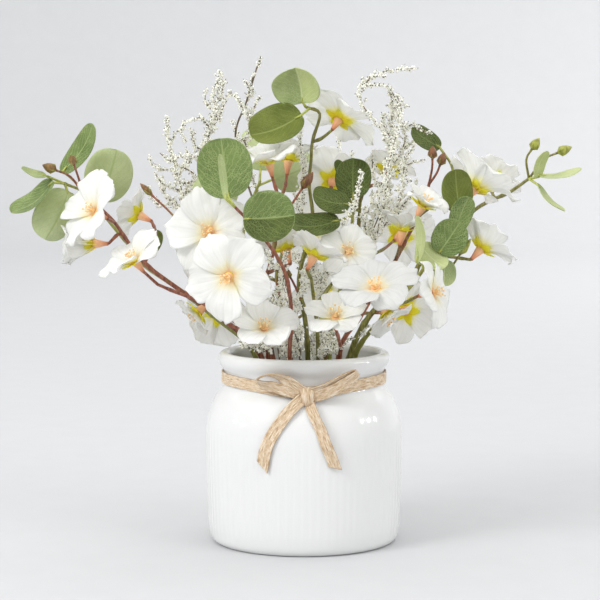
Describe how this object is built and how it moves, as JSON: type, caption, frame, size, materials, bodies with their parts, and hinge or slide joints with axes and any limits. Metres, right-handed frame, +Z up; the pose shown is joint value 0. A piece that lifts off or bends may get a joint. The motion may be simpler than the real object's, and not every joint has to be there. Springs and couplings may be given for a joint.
{
  "type": "artificial flower arrangement in a vase",
  "caption": "Round-shouldered glazed jar holding a spreading arrangement of artificial cherry blossom, eucalyptus and filler sprays, with a jute bow tied round its neck.",
  "frame": {"origin": "middle of the jar's flat foot", "axes": "+Z up along the jar's axis, -Y towards the bow at the front, +X along the arrangement's widest spread"},
  "size_m": [0.3257, 0.1919, 0.2842],
  "materials": {
    "glaze": "smooth white gloss glaze",
    "foam": "dry flower foam",
    "jute": "woven jute strap",
    "petal": "thin white cloth",
    "stem": "moulded brown and olive",
    "eucalyptus": "printed green cloth",
    "filler": "cream florets"
  },
  "bodies": {
    "root": {"blossom_01": "petal", "blossom_02": "petal", "blossom_03": "petal", "blossom_04": "petal", "blossom_05": "petal", "blossom_06": "petal", "blossom_07": "petal", "blossom_08": "petal", "blossom_09": "petal", "blossom_10": "petal", "blossom_11": "petal", "blossom_12": "petal", "blossom_13": "petal", "blossom_14": "petal", "blossom_15": "petal", "blossom_16": "petal", "blossom_17": "petal", "blossom_18": "petal", "blossom_19": "petal", "blossom_20": "petal", "blossom_21": "petal", "blossom_22": "petal", "blossom_23": "petal", "blossom_24": "petal", "blossom_25": "petal", "blossom_26": "petal", "blossom_27": "petal", "blossom_28": "petal", "blossom_29": "petal", "blossom_30": "petal", "blossom_31": "petal", "cherry_back_left": "stem", "cherry_back_right": "stem", "cherry_centre": "stem", "cherry_centre_front": "stem", "cherry_centre_left": "stem", "cherry_left": "stem", "cherry_left_front": "stem", "cherry_right": "stem", "cherry_right_front": "stem", "cherry_right_upper": "stem", "eucalyptus_back": "eucalyptus", "eucalyptus_centre": "eucalyptus", "eucalyptus_centre_left": "eucalyptus", "eucalyptus_left": "eucalyptus", "eucalyptus_right": "eucalyptus", "filler_back": "filler", "filler_far_left": "filler", "filler_front": "filler", "filler_left_high": "filler", "filler_left_plume": "filler", "filler_right_front": "filler", "filler_right_plume": "filler", "foam": "foam", "jar": "glaze", "ribbon_band": "jute", "ribbon_bow": "jute"}
  },
  "joints": []
}
